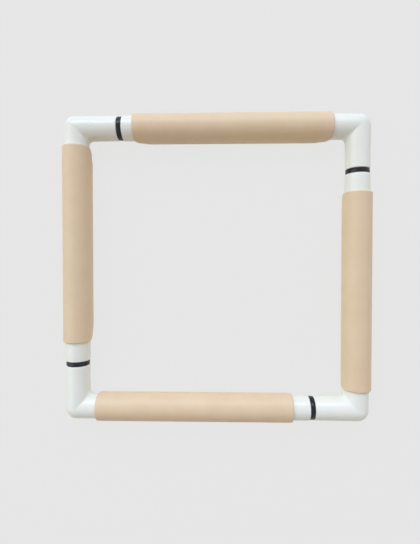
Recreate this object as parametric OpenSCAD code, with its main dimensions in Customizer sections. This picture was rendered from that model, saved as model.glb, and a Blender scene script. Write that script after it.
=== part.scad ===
// Square clip frame for stretching cloth: four corner tubes push together, and a clip snaps over each side.
// Origin: centre of the square, on the surface the frame lies on. +Z is up, +Y points to the top side.
// Every corner tube is the same moulding. Its long arm is the body of one side, and its short arm
// plugs into the next side's long arm, so the four of them close like a pinwheel.

/* [Frame] */
// Side of the square, measured outside the long arms
frame_side = 280; // [200:5:430]
// Outer diameter of the long arms
long_arm_d = 22.2; // [18:0.1:27]
// Wall of the long arms
tube_wall = 2.2; // [1.6:0.1:3]
// How much smaller the short arm's radius is at its shoulder than at the corner
short_arm_step = 0.3; // [0.1:0.1:0.8]
// Length of the short arms, from the corner's axis to the shoulder
short_arm = 39; // [25:1:60]
// Rounding of the shoulder and of the long arm's open end
rim_round = 0.8; // [0.3:0.1:1.2]

/* [Push joints] */
// Length of the spigot that enters the long arm
spigot_len = 24; // [12:1:40]
// Wall of the spigot
spigot_wall = 1.8; // [1.2:0.1:3]
// Radial clearance between the spigot and the long arm's bore
spigot_clear = 0.05; // [0.02:0.01:0.1]
// Chamfer round the spigot's tip
spigot_chamfer = 1; // [0.4:0.1:1.1]
// Chamfer inside the long arm's open end
mouth_chamfer = 0.6; // [0.2:0.1:0.9]

/* [Rubber rings] */
// Width of a ring between the shoulder and the long arm's end
ring_width = 4.4; // [3:0.1:8]
// How far the ring's crown lies below the short arm's surface
ring_sink = 0.3; // [0.1:0.1:0.8]
// Height of the crown across the ring's width
ring_crown = 0.2; // [0.1:0.05:0.4]
// Rounding of the ring's outer edges
ring_round = 0.6; // [0.2:0.1:0.7]
// How much tighter the ring's bore radius is than the spigot it grips
ring_grip = 0.1; // [0.05:0.05:0.2]
// Gap between the ring and the long arm's end
ring_gap = 0.05; // [0.02:0.01:0.2]

/* [Snap clips] */
// Bare length of the long arm that its clip leaves free
clip_free = 34.4; // [30:0.2:80]
// Wall of the clips
clip_wall = 1.8; // [1.2:0.1:3]
// Radial clearance of a clip on its long arm
clip_clear = 0.1; // [0.05:0.01:0.3]
// Angle that a clip wraps round its arm
clip_wrap = 236; // [200:2:270]
// Rounding of the outer edge at a clip's ends
end_round = 1.2; // [0.3:0.1:1.5]
// Radius of the rolled bead along each free lip
lip_bead = 1.3; // [1.1:0.1:2]
// How much further than the bore the lip's bead stands off the arm
lip_relief = 0.1; // [0.05:0.05:0.5]
// Radius that fairs each lip into the clip's end
lip_fair_r = 18; // [17.5:0.5:30]
// Length over which each lip is faired back at the clip's ends
lip_fair_len = 17; // [8:0.5:17]

/* [How the clips are set] */
// Top clip: distance of its end from its corner's axis
top_clip_start = 24.5; // [15:0.5:30]
// Right clip: distance of its end from its corner's axis
right_clip_start = 18; // [15:0.5:30]
// Bottom clip: distance of its end from its corner's axis
bottom_clip_start = 19; // [15:0.5:30]
// Left clip: distance of its end from its corner's axis
left_clip_start = 17; // [15:0.5:30]
// Top clip: how far its back is turned inwards, in degrees
top_clip_turn = -4; // [-24:1:24]
// Right clip: how far its back is turned inwards, in degrees
right_clip_turn = 10; // [-24:1:24]
// Bottom clip: how far its back is turned inwards, in degrees
bottom_clip_turn = 22; // [-24:1:24]
// Left clip: how far its back is turned inwards, in degrees
left_clip_turn = 0; // [-24:1:24]

/* [Hidden] */
$fn = 96;

tube_white = [0.93, 0.94, 0.93];
clip_peach = [0.9, 0.77, 0.63];
ring_black = [0.1, 0.1, 0.12];

// Sides of the square, counted clockwise from the top one
TOP = 0;
RIGHT = 1;
BOTTOM = 2;
LEFT = 3;

long_r = long_arm_d / 2;
short_r = long_r - short_arm_step;
// Length of the short arm that stays straight after the crease inside the corner
crease_land = 1;
bore_r = long_r - tube_wall;
spigot_r = bore_r - spigot_clear;
spigot_bore_r = spigot_r - spigot_wall;
axis_half = (frame_side - long_arm_d) / 2;
joint_width = ring_width + ring_gap;
long_arm = 2 * axis_half - short_arm - joint_width;
spigot_end = short_arm + joint_width + spigot_len;

ring_bore_r = spigot_r - ring_grip;
ring_r = short_r - ring_sink;
crown_r = (pow(ring_width / 2, 2) + pow(ring_crown, 2)) / (2 * ring_crown);

clip_len = long_arm - clip_free;
clip_bore_r = long_r + clip_clear;
// Width of the flat that the rounding always leaves at a clip's ends
end_land = 0.2;
edge_r = min(end_round, clip_wall - end_land);
lip_r = clip_bore_r + lip_relief + lip_bead;
// Level of the lips' lower edge, across the opening, from the clip's axis
lip_level = lip_r * cos(clip_wrap / 2) - lip_bead;
// How far the fairing arc dips past the lip, so that it crosses it cleanly
fair_dip = 0.3;
// How far below its axis a clip reaches when its back is turned by an angle
function clip_drop(turn) = lip_bead - lip_r * cos(clip_wrap / 2 + abs(turn));
clip_turns = [top_clip_turn, right_clip_turn, bottom_clip_turn, left_clip_turn];
// The frame lies on its arms, or on the lips where those reach lower
axis_height = max(concat([long_r], [for (turn = clip_turns) clip_drop(turn)]));
past = 1;

// Outline in radius and height of the long arm, with its open end's rim rounded
module long_arm_outline() {
    square([long_r - rim_round, long_arm]);
    square([long_r, long_arm - rim_round]);
    translate([long_r - rim_round, long_arm - rim_round]) circle(rim_round);
}

// Outline of the short arm: straight past the corner, then with a draft to its rounded shoulder
module short_arm_outline() {
    square([short_r - rim_round, short_arm]);
    polygon([
        [0, 0],
        [long_r, 0],
        [long_r, long_r + crease_land],
        [short_r, short_arm - rim_round],
        [0, short_arm - rim_round]
    ]);
    translate([short_r - rim_round, short_arm - rim_round]) circle(rim_round);
}

// Outline of the spigot with its chamfered tip
module spigot_outline() {
    polygon([
        [0, 0],
        [spigot_r, 0],
        [spigot_r, spigot_end - spigot_chamfer],
        [spigot_r - spigot_chamfer, spigot_end],
        [0, spigot_end]
    ]);
}

// Puts a child that stands along +Z on the long arm's axis, starting at the corner
module along_long_arm() {
    translate([axis_half, axis_half, axis_height]) rotate([0, -90, 0]) children();
}

// Puts a child that stands along +Z on the short arm's axis, starting at the corner
module along_short_arm() {
    translate([axis_half, axis_half, axis_height]) rotate([90, 0, 0]) children();
}

// Turns what is drawn for the top right corner to the corner at the end of another side
module on_side(side) {
    rotate([0, 0, -90 * side]) children();
}

// Corner tube: two arms that meet in a crease and round off outside the corner, bored from both ends
module corner_tube(side) {
    color(tube_white) on_side(side) difference() {
        union() {
            along_long_arm() rotate_extrude() long_arm_outline();
            along_short_arm() rotate_extrude() short_arm_outline();
            along_short_arm() rotate_extrude() spigot_outline();
            along_long_arm() sphere(long_r);
        }
        along_long_arm() cylinder(r = bore_r, h = long_arm + past);
        along_long_arm() translate([0, 0, long_arm - mouth_chamfer])
            cylinder(r1 = bore_r, r2 = bore_r + mouth_chamfer + past, h = mouth_chamfer + past);
        along_short_arm() cylinder(r = spigot_bore_r, h = spigot_end + past);
        along_long_arm() sphere(bore_r);
    }
}

// Outline of a ring's section: rounded outer edges under a crowned face
module ring_outline() {
    intersection() {
        translate([ring_bore_r, 0]) union() {
            thickness = ring_r - ring_bore_r;
            square([thickness - ring_round, ring_width]);
            translate([0, ring_round]) square([thickness, ring_width - 2 * ring_round]);
            for (end = [ring_round, ring_width - ring_round])
                translate([thickness - ring_round, end]) circle(ring_round);
        }
        translate([ring_r - crown_r, ring_width / 2]) circle(crown_r);
    }
}

// Rubber ring: it grips the spigot's root between the shoulder and the next side's long arm
module rubber_ring(side) {
    color(ring_black) on_side(side)
        along_short_arm() translate([0, 0, short_arm]) rotate_extrude() ring_outline();
}

// Section of the clip's wall along its length, with the outer edge rounded at both ends
module clip_wall_outline() {
    translate([clip_bore_r, 0]) {
        square([clip_wall - edge_r, clip_len]);
        translate([0, edge_r]) square([clip_wall, clip_len - 2 * edge_r]);
        intersection() {
            square([clip_wall, clip_len]);
            for (end = [edge_r, clip_len - edge_r])
                translate([clip_wall - edge_r, end]) circle(edge_r);
        }
    }
}

// What is cut from one end of a clip, seen from the side: below an arc that rises from the lip to the end
module lip_fair_outline() {
    arc_centre = lip_level - fair_dip + lip_fair_r;
    difference() {
        translate([lip_level - 2 * lip_bead, -past])
            square([arc_centre - lip_level + 2 * lip_bead, lip_fair_len + past]);
        translate([arc_centre, lip_fair_len]) circle(lip_fair_r);
    }
}

// Clip blank along +Z with its back towards +X: a C of wall with a bead along each lip, ends faired
module clip_blank() {
    difference() {
        union() {
            rotate([0, 0, -clip_wrap / 2]) rotate_extrude(angle = clip_wrap) clip_wall_outline();
            for (lip = [-1, 1])
                rotate([0, 0, lip * clip_wrap / 2]) translate([lip_r, 0, edge_r])
                    cylinder(r = lip_bead, h = clip_len - 2 * edge_r);
        }
        for (end = [0, 1])
            translate([0, 0, end * clip_len]) mirror([0, 0, end])
                rotate([90, 0, 0]) linear_extrude(4 * long_arm_d, center = true) lip_fair_outline();
    }
}

// Snap clip: its back faces up and is turned inwards by the given angle
module snap_clip(side, start, turn) {
    color(clip_peach) on_side(side)
        along_long_arm() translate([0, 0, start]) rotate([0, 0, -turn]) clip_blank();
}

module corner_tube_top_right() { corner_tube(TOP); }
module corner_tube_bottom_right() { corner_tube(RIGHT); }
module corner_tube_bottom_left() { corner_tube(BOTTOM); }
module corner_tube_top_left() { corner_tube(LEFT); }
module rubber_ring_right() { rubber_ring(TOP); }
module rubber_ring_bottom() { rubber_ring(RIGHT); }
module rubber_ring_left() { rubber_ring(BOTTOM); }
module rubber_ring_top() { rubber_ring(LEFT); }
module snap_clip_top() { snap_clip(TOP, top_clip_start, top_clip_turn); }
module snap_clip_right() { snap_clip(RIGHT, right_clip_start, right_clip_turn); }
module snap_clip_bottom() { snap_clip(BOTTOM, bottom_clip_start, bottom_clip_turn); }
module snap_clip_left() { snap_clip(LEFT, left_clip_start, left_clip_turn); }

corner_tube_top_right();
corner_tube_bottom_right();
corner_tube_bottom_left();
corner_tube_top_left();
rubber_ring_right();
rubber_ring_bottom();
rubber_ring_left();
rubber_ring_top();
snap_clip_top();
snap_clip_right();
snap_clip_bottom();
snap_clip_left();
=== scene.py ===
"""Surfaces, finishes and studio of the square clip frame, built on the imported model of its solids."""

import bmesh
import bpy
import numpy as np
from bpy.props import FloatProperty, FloatVectorProperty, IntProperty, PointerProperty
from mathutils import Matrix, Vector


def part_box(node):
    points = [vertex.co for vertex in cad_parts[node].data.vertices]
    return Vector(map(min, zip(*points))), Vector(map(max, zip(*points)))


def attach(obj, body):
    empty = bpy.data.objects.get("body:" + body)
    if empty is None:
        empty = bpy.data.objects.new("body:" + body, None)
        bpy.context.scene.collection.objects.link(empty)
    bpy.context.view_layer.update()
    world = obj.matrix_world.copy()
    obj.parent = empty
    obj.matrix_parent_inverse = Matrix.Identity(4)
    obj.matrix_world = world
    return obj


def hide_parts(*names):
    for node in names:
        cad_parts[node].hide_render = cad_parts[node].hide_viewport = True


bl_info = {
    "name": "Square Clip Frame",
    "version": (1, 0, 0),
    "blender": (4, 5, 0),
    "location": "3D Viewport > Sidebar > Clip Frame",
    "description": "Builds a square needlework frame of push-together tubes, rubber rings and C clips",
    "category": "Add Mesh",
}

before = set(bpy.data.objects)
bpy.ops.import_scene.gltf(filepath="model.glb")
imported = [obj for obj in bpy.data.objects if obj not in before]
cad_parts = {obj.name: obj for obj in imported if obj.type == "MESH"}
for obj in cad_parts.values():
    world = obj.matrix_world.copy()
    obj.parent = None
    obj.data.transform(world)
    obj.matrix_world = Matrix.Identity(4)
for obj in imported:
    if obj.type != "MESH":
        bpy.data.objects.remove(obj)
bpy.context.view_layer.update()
TUBE_LOW, TUBE_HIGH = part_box("corner_tube_top_right")
CLIP_LOW, CLIP_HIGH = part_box("snap_clip_top")
MM = 0.001

# The four sides, clockwise from the top one. A side is reached from the top one by quarter turns.
SIDES = ("top", "right", "bottom", "left")
# The tube whose long arm makes each side, and the ring on that tube's short arm
TUBES = ("top_right", "bottom_right", "bottom_left", "top_left")
RINGS = ("right", "bottom", "left", "top")
# How far the back of each side's clip is turned inwards, in degrees
CLIP_TURNS = (-4.0, 10.0, 22.0, 0.0)

# Tubes: an extra line beside each sharp edge keeps its shading crisp
BESIDE_EDGE = 0.04 * MM
# Tubes: smallest radius in which a line of the bore turns the corner
SMALLEST_TURN = 0.02 * MM
# Tubes: angle from the parting line at which its height has fallen to about a third
SEAM_SPREAD = 0.016
# Tubes: angles of the extra lines close to the parting line
SEAM_LINES = np.array([-0.045, -0.03, -0.018, -0.009, 0.009, 0.018, 0.03, 0.045])
# Tubes: the parting line rises out of the rim over this share of the long arm, and sinks at the shoulder
SEAM_RISE, SEAM_SINK = 1 / 20, 1 / 12
# Tubes: points over a rounded rim, and round the corner on its skin and in its bore
RIM_POINTS, CORNER_POINTS, BORE_CORNER_POINTS = 9, 17, 13
# Tubes: stations along the long arm, the short arm and the long bore, as shares of their length
LONG_STATIONS = np.linspace(0, 1, 10)
SHORT_STATIONS = np.append(np.linspace(0, 0.9, 9), (0.96, 1.0))
BORE_STATIONS = np.array([0.3, 0.6, 0.9, 1.0])
# Rings: rounding of the bore's edges, the same halfway round it, and the line under the outer rounding
BORE_EDGE, BORE_EDGE_HALFWAY, UNDER_EDGE = 0.25 * MM, 0.07 * MM, 0.05 * MM
# Rings: points over an outer edge and over the crown
EDGE_POINTS, CROWN_POINTS = 7, 17
# Clips: where the lips' beads start to swell, from a clip's end, and over which length they do
SWELL_START, SWELL_RUN = 6 * MM, 9 * MM
# Clips: softness of the run from the fairing into the lip, and what it would leave along the middle
LIP_BLEND, LIP_BLEND_REST = 0.2 * MM, 0.04 * MM
# Clips: length past the fairing that still has close stations
FAIRING_MARGIN = 1.0 * MM
# Clips: how much the points across the wall crowd towards the lips
LIP_CROWDING = 0.35
# Clips: points over the end's rounding and round a lip, and stations along the fairing and the middle
END_POINTS, CAP_POINTS, FAIRED_STATIONS, MIDDLE_STATIONS = 9, 13, 30, 6

# Noise values that the gloss and the tone are spread over, because few lie beyond them
GLOSS_FROM, GLOSS_TO = 0.3, 0.7
TONE_FROM, TONE_TO = 0.32, 0.68

# Studio: half the floor's width in metres, and the emission that evens it out with the surroundings
FLOOR_REACH, EVEN_STRENGTH = 3.0, 1.01
# Studio: Y of the direction, either way, over which the light of the surroundings changes
SKY_BLEND = 0.35
# Studio: each panel's name, place, width, height and tone, and the property that holds its power
PANELS = (
    ("top_panel", (-0.67, 4.01, 2.9), 5.1, 2.5, (0.846, 0.894, 1.0), "key"),
    ("top_strip", (-0.6, 3.58, 3.44), 5.1, 0.55, (0.79, 0.885, 1.0), "strip"),
    ("left_panel", (-3.991, -0.139, 3.009), 4.4, 4.4, (0.924, 1.0, 0.831), "west"),
    ("right_panel", (3.991, -0.139, 3.009), 4.4, 4.4, (0.94, 1.0, 0.6), "east"),
)


def length(name, description, default):
    """A distance in metres that the sidebar shows in the scene's own unit."""
    return FloatProperty(
        name=name, description=description, default=default, min=0.0,
        precision=5, subtype="DISTANCE", unit="LENGTH",
    )


def colour(name, description, default):
    """A linear red, green and blue colour."""
    return FloatVectorProperty(
        name=name, description=description, default=default, min=0.0, max=1.0, size=3, subtype="COLOR",
    )


def share(name, description, default):
    """A number from 0 to 1."""
    return FloatProperty(
        name=name, description=description, default=default, min=0.0, max=1.0,
        precision=3, subtype="FACTOR",
    )


def power(name, description, default):
    """Power of a panel of light."""
    return FloatProperty(name=name, description=description, default=default, min=0.0)


def points(name, description, default):
    """Number of points round a section."""
    return IntProperty(name=name, description=description, default=default, min=24, max=400)


class TubeSizes(bpy.types.PropertyGroup):
    """Sizes of the four white corner tubes"""

    side: length("Frame side", "Side of the square, outside its long arms", 2 * TUBE_HIGH.x)
    long_radius: length("Long arm radius", "Outer radius of the long arms", 11.1 * MM)
    short_radius: length("Short arm radius", "Outer radius of the short arms at their shoulder", 10.8 * MM)
    wall: length("Wall", "Wall of the long arms", 2.2 * MM)
    long_arm: length("Long arm", "From the corner's axis to the open end", 214.35 * MM)
    short_arm: length("Short arm", "From the corner's axis to the shoulder", 39.0 * MM)
    rim: length("Rim", "Rounding of the shoulder and of the open end", 0.8 * MM)
    mouth: length("Mouth", "Chamfer inside the open end", 0.6 * MM)
    spigot_end: length("Spigot end", "From the corner's axis to the spigot's tip", 67.45 * MM)
    spigot_radius: length("Spigot radius", "Outer radius of the spigot", 8.85 * MM)
    spigot_wall: length("Spigot wall", "Wall of the spigot", 1.8 * MM)
    spigot_tip: length("Spigot tip", "Chamfer round the spigot's tip", 1.0 * MM)
    ridge: length("Ridge softness", "How softly the crease on the corner runs out at its top", 1.8 * MM)
    crease: length("Crease", "Fillet along the crease inside the corner", 0.45 * MM)
    web: length("Web", "How much wider the crease's fillet gets at mid height", 4.6 * MM)
    seam: length("Seam", "Height of the mould's parting line", 0.035 * MM)
    around: points("Points round", "Points round a tube", 144)


class RingSizes(bpy.types.PropertyGroup):
    """Sizes of the four rubber rings"""

    width: length("Width", "Width of a ring", 4.4 * MM)
    bore: length("Bore radius", "Radius of the bore, a little under the spigot's", 8.75 * MM)
    radius: length("Radius", "Radius at the middle of the crown", 10.5 * MM)
    crown: length("Crown", "Height of the crown across the width", 0.2 * MM)
    edge: length("Edge", "Rounding of the outer edges", 0.6 * MM)
    around: points("Points round", "Points round a ring", 160)


class ClipSizes(bpy.types.PropertyGroup):
    """Sizes of the four peach clips"""

    length: length("Length", "Length of a clip", CLIP_HIGH.x - CLIP_LOW.x)
    bore: length("Bore radius", "Radius inside a clip", 11.2 * MM)
    wall: length("Wall", "Wall of a clip", 1.8 * MM)
    wrap: FloatProperty(
        name="Wrap", description="Angle between the lips' centres, round the arm",
        default=np.radians(236.0), subtype="ANGLE", unit="ROTATION",
    )
    lip_radius: length("Lip radius", "From the arm's axis to the centre of a lip's bead", 12.6 * MM)
    bead: length("Bead", "Radius of the bead along each lip", 1.3 * MM)
    bead_run: length("Bead run", "Distance over which the wall swells into the bead", 2.4 * MM)
    fair_radius: length("Fairing radius", "Radius that lifts each lip at the clip's ends", 18.0 * MM)
    fair_length: length("Fairing length", "Length over which each lip is lifted", 17.0 * MM)
    fair_dip: length("Fairing dip", "How far the fairing's arc dips past the lip", 0.3 * MM)
    end_round: length("End rounding", "Rounding of the outer edge at the ends", 1.2 * MM)
    around: points("Points across", "Points across a clip's wall", 72)


class Finishes(bpy.types.PropertyGroup):
    """Colours and gloss of the three materials"""

    white: colour("White plastic", "Colour of the corner tubes", (0.82, 0.845, 0.835))
    white_rough: share("White roughness", "How satin the white plastic is", 0.11)
    peach: colour("Peach plastic", "Colour of the clips", (0.738, 0.58, 0.42))
    peach_rough: share("Peach roughness", "How satin the peach plastic is", 0.42)
    rubber: colour("Black rubber", "Colour of the rings", (0.005, 0.006, 0.016))
    rubber_rough: share("Rubber roughness", "How satin the rubber is", 0.18)


class StudioLook(bpy.types.PropertyGroup):
    """Floor, light and camera"""

    background: colour("Background", "Floor and surroundings as the camera sees them", (0.791, 0.791, 0.791))
    floor: colour("Floor", "Floor as it lights the frame from below", (0.93, 0.87, 0.68))
    shadow: share("Shadow", "How much of its shadow the floor shows", 0.06)
    key: power("Key light", "Power of the panel at the top side", 87.0)
    strip: power("Strip light", "Power of the narrow strip at the top side", 26.5)
    west: power("Left light", "Power of the panel at the left", 73.0)
    east: power("Right light", "Power of the panel at the right", 16.2)
    sky_top: colour("Light at the top", "Soft light from all round at the top side", (0.762, 0.789, 0.842))
    sky_bottom: colour("Light at the bottom", "Soft light from all round at the bottom side",
                       (0.293, 0.232, 0.199))
    lens: FloatProperty(
        name="Lens", description="Focal length of the camera", default=23.26, min=1.0,
        subtype="DISTANCE_CAMERA", unit="CAMERA",
    )
    eye: FloatVectorProperty(
        name="Camera", description="Place of the camera", default=(0.0019, 0.0025, 0.3361),
        size=3, subtype="TRANSLATION", unit="LENGTH", precision=5,
    )
    tilt: FloatVectorProperty(
        name="Tilt", description="Turn of the camera from straight down",
        default=np.radians((-1.025, 1.306, 0.01)).tolist(), size=3, subtype="EULER", unit="ROTATION",
    )


def smooth(t):
    """Cubic step: 0 below 0, 1 above 1, and three t squared less two t cubed between."""
    t = np.clip(t, 0.0, 1.0)
    return t * t * (3 - 2 * t)


def arc(start, end, count):
    """Equal steps of an angle given in quarter turns, as its sines and cosines."""
    angle = np.linspace(start, end, count) * np.pi / 2
    return np.sin(angle), np.cos(angle)


def column(values):
    """Values as a column, one to a station."""
    return np.asarray(values)[:, None]


def grid_of(x, y, z):
    """Points from three coordinates, each given for every point, station or line."""
    return np.stack(np.broadcast_arrays(x, y, z), -1)


def on_side(grid, side):
    """Points at the top right corner turned clockwise about the frame's centre by that many quarter turns."""
    x, y, z = np.moveaxis(grid, -1, 0)
    for _ in range(side):
        x, y = y, -x
    return np.stack([x, y, z], -1)


def grid_object(name, grid, material, wrap_stations=False):
    """Object from a grid of points, stations by points round: each point joins the next ones by a quad."""
    stations, around = grid.shape[:2]
    i = np.arange(stations if wrap_stations else stations - 1)[:, None]
    j = np.arange(around)[None, :]
    next_i, next_j = (i + 1) % stations, (j + 1) % around
    corners = np.stack([
        i * around + j, i * around + next_j, next_i * around + next_j, next_i * around + j,
    ], -1)
    mesh = bpy.data.meshes.new(name)
    mesh.from_pydata(grid.reshape(-1, 3), [], corners.reshape(-1, 4).tolist())
    work = bmesh.new()
    work.from_mesh(mesh)
    bmesh.ops.remove_doubles(work, verts=work.verts, dist=1e-7)
    bmesh.ops.recalc_face_normals(work, faces=work.faces)
    work.to_mesh(mesh)
    work.free()
    mesh.polygons.foreach_set("use_smooth", np.ones(len(mesh.polygons), bool))
    mesh.materials.append(material)
    made = bpy.data.objects.new(name, mesh)
    bpy.context.scene.collection.objects.link(made)
    return made


def tube_angles(count):
    """Angles round a tube, evenly spread, with extra ones close to the parting line on both sides."""
    even = np.linspace(0, 2 * np.pi, count, endpoint=False)
    return np.unique(np.concatenate([even, SEAM_LINES % (2 * np.pi), SEAM_LINES + np.pi]).round(6))


def turn_radius(offset, size):
    """Radius in which a line of the skin turns the corner, from its offset outside the corner's axis.

    It is half of the offset plus half of the root of its square and the ridge's square: outside the corner
    nearly the offset itself, as on a ball, with a soft foot so that the crease fades out on top. Inside the
    corner comes the crease's fillet, which is full from a third of the tube's radius on, and the web, which
    grows with the fifth power of the offset.
    """
    outside = (offset + np.sqrt(offset**2 + size.ridge**2)) / 2
    inside = np.maximum(-offset, 0) / size.long_radius
    return outside + size.crease * smooth(inside * 3) + size.web * inside**5


def round_corner(offset, height, radius, stations):
    """Lines that turn from the long arm into the short one.

    Each is a quarter arc of its own radius about the point that lies this radius inside its sharp corner.
    """
    sine, cosine = arc(0, 1, stations)
    centre = offset - radius
    return grid_of(centre + radius * column(sine), centre + radius * column(cosine), height)


def short_arm_radius(distance, size):
    """Radius of the short arm: the long arm's up to one radius from the corner, then evenly less."""
    run = size.short_arm - size.rim - size.long_radius
    t = np.clip((distance - size.long_radius) / run, 0, 1)
    return size.long_radius + (size.short_radius - size.long_radius) * t


def tube_grid(size):
    """Closed skin of a corner tube, from its corner's axis: a profile carried round the L and back inside.

    A line at an angle round the tube lies at radius times cosine outside the corner's axis and at radius
    times sine above it. It runs straight along the long arm, turns the corner and runs straight again.
    The parting line lifts the skin at mid height by a bell curve of the angle.
    """
    angle = tube_angles(size.around)
    out, up = np.cos(angle), np.sin(angle)
    from_seam = np.arctan2(np.abs(up), np.abs(out))
    seam = 1 + size.seam / size.long_radius * np.exp(-(from_seam / SEAM_SPREAD)**2)
    offset, height = size.long_radius * out * seam, size.long_radius * up * seam
    turn = turn_radius(offset, size)
    start = turn - offset

    def along_long(radius, distance):
        """Points at that distance along the long arm, each line at the radius times its cosine and sine."""
        return grid_of(-distance, radius * out, radius * up)

    def along_short(radius, distance):
        """The same along the short arm."""
        return grid_of(radius * out, -distance, radius * up)

    rim_out, rim_along = arc(0, 1, RIM_POINTS)
    bore, spigot_bore = size.long_radius - size.wall, size.spigot_radius - size.spigot_wall

    # Open end: from the flat face over the rounded rim onto the long arm
    face = along_long(
        column([bore + size.mouth + BESIDE_EDGE, size.long_radius - size.rim - BESIDE_EDGE]), size.long_arm)
    open_rim = along_long(
        column(size.long_radius - size.rim + size.rim * rim_out),
        column(size.long_arm - size.rim + size.rim * rim_along))

    # Long arm, from behind the rim to where each line starts to turn
    t = column(LONG_STATIONS)
    first = size.long_arm - size.rim
    long_skin = along_long(
        size.long_radius * (1 + (seam - 1) * smooth(t / SEAM_RISE)), first + (start - first) * t)
    corner = round_corner(offset, height, turn, CORNER_POINTS)

    # Short arm: straight through the corner, then with a draft to the rounded shoulder
    last = size.short_arm - size.rim
    t = column(SHORT_STATIONS)
    distance = start + (last - start) * t
    drafted = short_arm_radius(distance, size)
    short_skin = along_short(drafted * (1 + (seam - 1) * smooth((1 - t) / SEAM_SINK)), distance)
    shoulder = along_short(
        column(size.short_radius - size.rim + size.rim * rim_along), column(last + size.rim * rim_out))

    # Spigot: the shoulder's face, the sides, the chamfer and the tip
    chamfered = size.spigot_radius - size.spigot_tip
    spigot = along_short(
        column([size.short_radius - size.rim - BESIDE_EDGE, size.spigot_radius + BESIDE_EDGE,
                size.spigot_radius, size.spigot_radius, size.spigot_radius,
                chamfered, chamfered - BESIDE_EDGE, spigot_bore + BESIDE_EDGE]),
        column([size.short_arm, size.short_arm,
                size.short_arm + BESIDE_EDGE, size.spigot_end - size.spigot_tip - BESIDE_EDGE,
                size.spigot_end - size.spigot_tip,
                size.spigot_end, size.spigot_end, size.spigot_end]))

    # Inside: back along the spigot's bore, wider at the corner, and out along the long bore
    inner = np.maximum(bore * out, SMALLEST_TURN)
    back = along_short(
        spigot_bore, column([size.spigot_end - BESIDE_EDGE, size.short_arm, 2 * bore]))
    t = column(np.linspace(0, 1, 8))
    widening = along_short(
        spigot_bore + (bore - spigot_bore) * smooth(t), 2 * bore + (inner - bore * out - 2 * bore) * t)
    inside_corner = round_corner(bore * out, bore * up, inner, BORE_CORNER_POINTS)[::-1]
    long_bore = along_long(
        bore, column(BORE_STATIONS) * (size.long_arm - size.mouth - BESIDE_EDGE))
    mouth = along_long(column([bore, bore + size.mouth]), column([size.long_arm - size.mouth, size.long_arm]))
    return np.concatenate([
        face, open_rim, long_skin[1:], corner[1:], short_skin[1:], shoulder[1:], spigot,
        back, widening[1:], inside_corner[1:], long_bore, mouth,
    ])


def ring_grid(size, place):
    """Closed skin of a ring about the short arm's axis: its section turned through a full circle.

    The section runs up a side, round an edge, over the crown, down the other side and back across the
    bore. The crown's height falls with the square of the distance from its middle.
    """
    half = size.width / 2
    sine, cosine = arc(0, 1, EDGE_POINTS)
    flat = half - size.edge
    across = np.linspace(-flat, flat, CROWN_POINTS)[1:-1]
    crown = size.radius - size.crown * (across / half)**2
    below_edge = size.radius - size.crown * (flat / half)**2 - size.edge
    first_edge = np.stack([below_edge + size.edge * sine, -flat - size.edge * cosine], -1)
    side = below_edge - UNDER_EDGE
    section = np.concatenate([
        [[size.bore + BORE_EDGE, -half], [side, -half]],
        first_edge,
        np.stack([crown, across], -1),
        (first_edge * (1, -1))[::-1],
        [[side, half], [size.bore + BORE_EDGE, half],
         [size.bore + BORE_EDGE_HALFWAY, half - BORE_EDGE_HALFWAY], [size.bore, half - BORE_EDGE],
         [size.bore, -half + BORE_EDGE], [size.bore + BORE_EDGE_HALFWAY, -half + BORE_EDGE_HALFWAY]],
    ])
    angle = np.linspace(0, 2 * np.pi, size.around, endpoint=False)
    radius, along = column(section[:, 0]), column(section[:, 1])
    return grid_of(radius * np.cos(angle), -(place + along), radius * np.sin(angle))


def lip_level(distance, size):
    """Level of a clip's lower edge from its axis, at a distance from the clip's end.

    It is the lips' own level, or where higher the arc of the fairing: its centre's level less the root of
    the radius squared less the distance to the centre squared. Half of the sum of their difference and its
    softened amount blends the two, and the little that this leaves along the middle is taken off.
    """
    lips = size.lip_radius * np.cos(size.wrap / 2) - size.bead
    centre = lips - size.fair_dip + size.fair_radius
    reach = np.maximum(size.fair_length - distance, 0)
    over = centre - np.sqrt(size.fair_radius**2 - reach**2) - lips
    rest = LIP_BLEND_REST * smooth(distance / size.fair_length)
    return lips + (over + np.sqrt(over**2 + LIP_BLEND**2)) / 2 - rest


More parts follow.
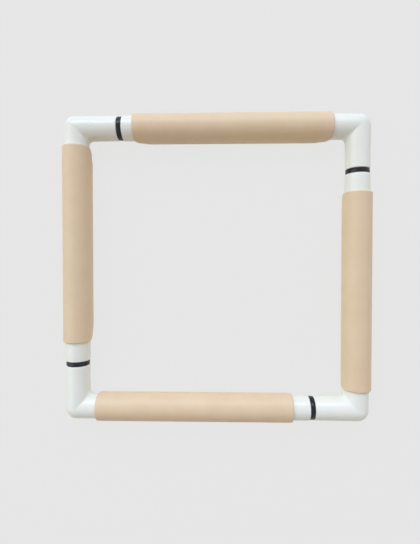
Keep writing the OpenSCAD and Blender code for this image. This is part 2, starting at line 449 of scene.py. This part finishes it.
def clip_grid(size):
    """Closed skin of a clip along +Z with its back towards +X: a band across the wall at each station.

    At a station the band has a middle radius and a half thickness, which both swell into the lips' beads.
    Its outer and inner faces lie half a thickness each side of the middle, and half circles close its ends.
    The angle that it covers is the one at which a half circle touches the level of the lower edge.
    """
    _, cosine = arc(0, 1, END_POINTS)
    rounding = size.end_round * (1 - cosine)
    lifted = np.linspace(size.end_round, size.fair_length + FAIRING_MARGIN, FAIRED_STATIONS)[1:]
    middle = np.linspace(size.fair_length + FAIRING_MARGIN, size.length / 2, MIDDLE_STATIONS)[1:]
    half = np.concatenate([rounding, lifted, middle])
    distance = column(half)
    outer_cut = size.end_round * (1 - np.sqrt(np.clip(1 - (1 - distance / size.end_round)**2, 0, 1)))
    outer_cut = np.where(distance < size.end_round, outer_cut, 0)
    thick = (size.wall - outer_cut) / 2
    middle_radius = size.bore + thick
    swell = smooth((distance - SWELL_START) / SWELL_RUN)
    lip_thick = thick + (size.bead - thick) * swell
    lip_middle = middle_radius + (size.lip_radius - middle_radius) * swell
    reach = np.arccos(np.clip((lip_level(distance, size) + lip_thick) / lip_middle, -1, 1))

    # The outer and inner faces, with points that crowd towards the lips by a sine
    t = np.linspace(-1, 1, size.around)
    angle = reach * (t - LIP_CROWDING * np.sin(np.pi * t) / np.pi)
    to_lip = (reach - np.abs(angle)) * middle_radius
    near = smooth(1 - to_lip / size.bead_run)
    radius = middle_radius + (lip_middle - middle_radius) * near
    depth = thick + (lip_thick - thick) * near

    def polar(radius, angle):
        """Points at the radius times the cosine and the sine of the angle."""
        return np.stack([radius * np.cos(angle), radius * np.sin(angle)], -1)

    outer = polar(radius + depth, angle)
    inner = polar(radius - depth, angle)[:, ::-1]

    cap_sine, cap_cosine = arc(0, 2, CAP_POINTS)
    cap_sine, cap_cosine = cap_sine[1:-1, None], cap_cosine[1:-1, None]

    def cap(side):
        """Half circle round a lip, from the outer face to the inner one."""
        along = side * reach
        out = np.stack([np.cos(along), np.sin(along)], -1)
        on = side * np.stack([-np.sin(along), np.cos(along)], -1)
        return polar(lip_middle, along) + lip_thick[..., None] * (cap_cosine * out + cap_sine * on)

    section = np.concatenate([outer, cap(1), inner, cap(-1)[:, ::-1]], 1)

    # The flat ends close on the middle line of the wall
    line = polar(radius, angle)[:1]
    closing = np.concatenate([
        line, np.repeat(line[:, -1:], cap_sine.size, 1),
        line[:, ::-1], np.repeat(line[:, :1], cap_sine.size, 1),
    ], 1)
    section = np.concatenate([closing, section])
    section = np.concatenate([section, section[-2::-1]])
    half = np.concatenate([[0.0], half])
    station = np.concatenate([half, (size.length - half)[-2::-1]])
    return grid_of(section[..., 0], section[..., 1], column(station))


def node(tree, kind, inputs=(), **settings):
    """New shader node with its settings and its inputs' values or links."""
    made = tree.nodes.new(kind)
    for key, value in settings.items():
        setattr(made, key, value)
    for key, value in dict(inputs).items():
        if isinstance(value, bpy.types.NodeSocket):
            tree.links.new(value, made.inputs[key])
        else:
            made.inputs[key].default_value = value
    return made


def new_material(name, ior):
    """Material with its tree, its shader of that index of refraction, and the object's coordinates."""
    material = bpy.data.materials.new(name)
    material.use_nodes = True
    tree = material.node_tree
    tree.nodes.clear()
    shader = node(tree, "ShaderNodeBsdfPrincipled", {"IOR": ior})
    node(tree, "ShaderNodeOutputMaterial", {"Surface": shader.outputs["BSDF"]})
    return material, tree, shader, node(tree, "ShaderNodeTexCoord").outputs["Object"]


def cloud(tree, place, scale, detail, roughness=0.5):
    """Soft noise of that many features to the metre."""
    return node(tree, "ShaderNodeTexNoise", {
        "Vector": place, "Scale": scale, "Detail": detail, "Roughness": roughness,
    }).outputs["Fac"]


def glossed(tree, shader, value, rough, least, most):
    """Roughness between the least and the most of those shares of it, by the value."""
    spread = node(tree, "ShaderNodeMapRange", {
        "Value": value, "From Min": GLOSS_FROM, "From Max": GLOSS_TO,
        "To Min": rough * least, "To Max": rough * most,
    })
    tree.links.new(spread.outputs["Result"], shader.inputs["Roughness"])


def tinted(tree, shader, value, tone, shift):
    """Base colour, moved by the value between the tone darkened by the shift and lightened by half of it."""
    ramp = node(tree, "ShaderNodeValToRGB", {"Fac": value})
    dark, light = ramp.color_ramp.elements
    dark.position, light.position = TONE_FROM, TONE_TO
    dark.color = (*(c * (1 - s) for c, s in zip(tone, shift)), 1.0)
    light.color = (*(min(c * (1 + s / 2), 1.0) for c, s in zip(tone, shift)), 1.0)
    tree.links.new(ramp.outputs["Color"], shader.inputs["Base Color"])


def bumped(tree, shader, *layers):
    """Bump made of several heights, each (height, distance in metres)."""
    below = {}
    for height, distance in layers:
        bump = node(tree, "ShaderNodeBump",
                    {"Height": height, "Distance": distance, "Strength": 1.0, **below})
        below = {"Normal": bump.outputs["Normal"]}
    tree.links.new(below["Normal"], shader.inputs["Normal"])


def white_plastic(look):
    """Glossy moulded white: flow clouding, slow waviness from shrinkage and rubbed streaks of less gloss."""
    material, tree, shader, place = new_material("white_plastic", ior=1.47)
    flow = cloud(tree, place, scale=38.0, detail=4.0, roughness=0.55)
    wave = cloud(tree, place, scale=55.0, detail=1.0)
    peel = cloud(tree, place, scale=1500.0, detail=2.0)
    rubbed = cloud(tree, place, scale=210.0, detail=6.0, roughness=0.7)
    tinted(tree, shader, flow, look.white, shift=(0.022, 0.018, 0.026))
    glossed(tree, shader, rubbed, look.white_rough, least=0.82, most=1.25)
    bumped(tree, shader, (wave, 0.008 * MM), (peel, 0.0016 * MM))
    return material


def peach_plastic(look):
    """Satin moulded peach: spark-eroded grain, faint pink and straw clouding and slightly uneven gloss."""
    material, tree, shader, place = new_material("peach_plastic", ior=1.46)
    flow = cloud(tree, place, scale=70.0, detail=5.0, roughness=0.6)
    grain = cloud(tree, place, scale=2600.0, detail=2.0, roughness=0.6)
    wave = cloud(tree, place, scale=60.0, detail=1.0)
    tinted(tree, shader, flow, look.peach, shift=(0.02, 0.035, 0.055))
    glossed(tree, shader, flow, look.peach_rough, least=0.92, most=1.1)
    bumped(tree, shader, (wave, 0.012 * MM), (grain, 0.007 * MM))
    return material


def black_rubber(look):
    """Smooth black rubber: a bluish bloom, a fine skin and a soft sheen."""
    material, tree, shader, place = new_material("black_rubber", ior=1.42)
    bloom = cloud(tree, place, scale=320.0, detail=4.0, roughness=0.6)
    skin = cloud(tree, place, scale=3200.0, detail=2.0)
    tinted(tree, shader, bloom, look.rubber, shift=(0.35, 0.33, 0.25))
    glossed(tree, shader, bloom, look.rubber_rough, least=0.85, most=1.3)
    bumped(tree, shader, (skin, 0.006 * MM))
    return material


def axis_place(scene):
    """Half of the square between the arms' axes, and the height of those axes."""
    tube = scene.clip_frame_tube
    return tube.side / 2 - tube.long_radius, (TUBE_LOW.z + TUBE_HIGH.z) / 2


def at_corner(grid, scene):
    """Points given from the corner's axis, moved to the frame's top right corner."""
    half, height = axis_place(scene)
    return grid + np.array([half, half, height])


def clip_start(name, scene):
    """Distance from the corner's axis of the tube that carries a clip to the clip's near end."""
    low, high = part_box(f"snap_clip_{name}")
    near = {"top": high.x, "right": -low.y, "bottom": -low.x, "left": high.y}[name]
    return axis_place(scene)[0] - near


class CLIPFRAME_OT_corner_tubes(bpy.types.Operator):
    """Build the four white corner tubes, with their creased corners, rims, bores and spigots"""

    bl_idname = "clip_frame.corner_tubes"
    bl_label = "Corner tubes"

    def execute(self, context):
        size = context.scene.clip_frame_tube
        plastic = white_plastic(context.scene.clip_frame_finish)
        grid = at_corner(tube_grid(size), context.scene)
        for side, name in enumerate(TUBES):
            tube = grid_object(f"tube_{name}", on_side(grid, side), plastic, wrap_stations=True)
            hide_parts(f"corner_tube_{name}")
            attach(tube, name)
        return {"FINISHED"}


class CLIPFRAME_OT_rubber_rings(bpy.types.Operator):
    """Build the four crowned rubber rings between the shoulders and the long arms"""

    bl_idname = "clip_frame.rubber_rings"
    bl_label = "Rubber rings"

    def execute(self, context):
        size = context.scene.clip_frame_ring
        rubber = black_rubber(context.scene.clip_frame_finish)
        middle = context.scene.clip_frame_tube.short_arm + size.width / 2
        grid = at_corner(ring_grid(size, middle), context.scene)
        for side, (tube, name) in enumerate(zip(TUBES, RINGS)):
            ring = grid_object(f"ring_{name}", on_side(grid, side), rubber, wrap_stations=True)
            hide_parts(f"rubber_ring_{name}")
            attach(ring, tube)
        return {"FINISHED"}


class CLIPFRAME_OT_snap_clips(bpy.types.Operator):
    """Build the four peach clips, with their beaded lips, faired ends and rounded edges"""

    bl_idname = "clip_frame.snap_clips"
    bl_label = "Clips"

    def execute(self, context):
        plastic = peach_plastic(context.scene.clip_frame_finish)
        half, height = axis_place(context.scene)
        back, across, along = np.moveaxis(clip_grid(context.scene.clip_frame_clip), -1, 0)
        for side, (name, turn) in enumerate(zip(SIDES, np.radians(CLIP_TURNS))):
            up = back * np.cos(turn) - across * np.sin(turn)
            inward = back * np.sin(turn) + across * np.cos(turn)
            grid = grid_of(half - clip_start(name, context.scene) - along, half - inward, height + up)
            clip = grid_object(f"clip_{name}", on_side(grid, side), plastic)
            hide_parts(f"snap_clip_{name}")
            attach(clip, f"{name}_clip")
        return {"FINISHED"}


def panel_light(name, place, width, height, tone, watts):
    """Soft panel of light that faces the frame's centre."""
    data = bpy.data.lights.new(name, "AREA")
    data.shape = "RECTANGLE"
    data.size, data.size_y = width, height
    data.energy = watts
    data.color = tone
    lamp = bpy.data.objects.new(name, data)
    lamp.location = place
    lamp.rotation_mode = "QUATERNION"
    lamp.rotation_quaternion = lamp.location.to_track_quat("Z", "Y")
    bpy.context.scene.collection.objects.link(lamp)


def seen_directly(tree):
    """1 where a ray comes from the camera, a mirror or glass, and 0 where it carries light."""
    path = node(tree, "ShaderNodeLightPath").outputs
    either = node(tree, "ShaderNodeMath", {0: path["Is Camera Ray"], 1: path["Is Glossy Ray"]},
                  operation="MAXIMUM")
    return node(tree, "ShaderNodeMath", {0: either.outputs[0], 1: path["Is Transmission Ray"]},
                operation="MAXIMUM").outputs[0]


def mixed(tree, factor, first, second):
    """First shader where the factor is 0, second one where it is 1."""
    return node(tree, "ShaderNodeMixShader", {0: factor, 1: first.outputs[0], 2: second.outputs[0]})


def floor_material(look):
    """Pale floor: plain paint that takes part of the shadow, and for the rest an even background tone."""
    material = bpy.data.materials.new("pale_floor")
    material.use_nodes = True
    tree = material.node_tree
    tree.nodes.clear()
    paint = node(tree, "ShaderNodeBsdfDiffuse", {"Color": (*look.floor, 1.0)})
    shown_paint = node(tree, "ShaderNodeBsdfDiffuse", {"Color": (*look.background, 1.0)})
    even = node(tree, "ShaderNodeEmission", {"Color": (*look.background, 1.0), "Strength": EVEN_STRENGTH})
    shown = mixed(tree, look.shadow, even, shown_paint)
    surface = mixed(tree, seen_directly(tree), paint, shown)
    node(tree, "ShaderNodeOutputMaterial", {"Surface": surface.outputs[0]})
    return material


def surroundings(look):
    """World that lights the frame softly from all round and shows the background tone itself.

    Its light goes from the bottom side's to the top side's by a cubic step of the direction's Y.
    """
    world = bpy.data.worlds.new("studio")
    world.use_nodes = True
    tree = world.node_tree
    tree.nodes.clear()

    def tone(colour_value):
        """Even light of one colour."""
        return node(tree, "ShaderNodeBackground", {"Color": (*colour_value, 1.0), "Strength": 1.0})

    direction = node(tree, "ShaderNodeTexCoord").outputs["Generated"]
    towards_top = node(tree, "ShaderNodeMapRange", {
        "Value": node(tree, "ShaderNodeSeparateXYZ", {"Vector": direction}).outputs["Y"],
        "From Min": -SKY_BLEND, "From Max": SKY_BLEND,
    }, interpolation_type="SMOOTHSTEP").outputs["Result"]
    light = mixed(tree, towards_top, tone(look.sky_bottom), tone(look.sky_top))
    surface = mixed(tree, seen_directly(tree), light, tone(look.background))
    node(tree, "ShaderNodeOutputWorld", {"Surface": surface.outputs[0]})
    return world


class CLIPFRAME_OT_studio(bpy.types.Operator):
    """Set the pale floor, the soft light and the camera straight above the frame"""

    bl_idname = "clip_frame.studio"
    bl_label = "Studio"

    def execute(self, context):
        look = context.scene.clip_frame_studio
        mesh = bpy.data.meshes.new("floor")
        corners = np.array([[-1, -1, 0], [1, -1, 0], [1, 1, 0], [-1, 1, 0]]) * FLOOR_REACH
        mesh.from_pydata(corners.tolist(), [], [(0, 1, 2, 3)])
        mesh.materials.append(floor_material(look))
        floor = bpy.data.objects.new("floor", mesh)
        context.scene.collection.objects.link(floor)
        context.scene.world = surroundings(look)
        for *panel, watts in PANELS:
            panel_light(*panel, getattr(look, watts))
        data = bpy.data.cameras.new("camera")
        data.lens = look.lens
        data.sensor_width = 36.0
        data.clip_start, data.clip_end = 0.01, 20.0
        camera = bpy.data.objects.new("camera", data)
        camera.location = look.eye
        camera.rotation_euler = look.tilt
        context.scene.collection.objects.link(camera)
        context.scene.camera = camera
        context.scene.view_settings.view_transform = "Standard"
        return {"FINISHED"}


BUILDERS = (
    CLIPFRAME_OT_studio, CLIPFRAME_OT_corner_tubes, CLIPFRAME_OT_rubber_rings, CLIPFRAME_OT_snap_clips,
)
GROUPS = {
    "clip_frame_tube": TubeSizes,
    "clip_frame_ring": RingSizes,
    "clip_frame_clip": ClipSizes,
    "clip_frame_finish": Finishes,
    "clip_frame_studio": StudioLook,
}


class CLIPFRAME_PT_sidebar(bpy.types.Panel):
    """Sizes, finishes and builders of the clip frame"""

    bl_idname = "CLIPFRAME_PT_sidebar"
    bl_label = "Clip frame"
    bl_space_type = "VIEW_3D"
    bl_region_type = "UI"
    bl_category = "Clip Frame"

    def draw(self, context):
        for builder in BUILDERS:
            self.layout.operator(builder.bl_idname)
        for group in GROUPS:
            box = self.layout.box()
            values = getattr(context.scene, group)
            for key in values.bl_rna.properties.keys():
                if key not in ("rna_type", "name"):
                    box.prop(values, key)


def register():
    """Register the sizes and looks, then the builders and the sidebar's panel"""
    for name, group in GROUPS.items():
        bpy.utils.register_class(group)
        setattr(bpy.types.Scene, name, PointerProperty(type=group))
    for shown in (*BUILDERS, CLIPFRAME_PT_sidebar):
        bpy.utils.register_class(shown)


def unregister():
    """Undo register in the opposite order"""
    for shown in (CLIPFRAME_PT_sidebar, *reversed(BUILDERS)):
        bpy.utils.unregister_class(shown)
    for name, group in reversed(GROUPS.items()):
        delattr(bpy.types.Scene, name)
        bpy.utils.unregister_class(group)


def main():
    """Build the studio and all pieces"""
    register()
    bpy.ops.clip_frame.studio()
    bpy.ops.clip_frame.corner_tubes()
    bpy.ops.clip_frame.rubber_rings()
    bpy.ops.clip_frame.snap_clips()


if __name__ == "__main__":
    main()
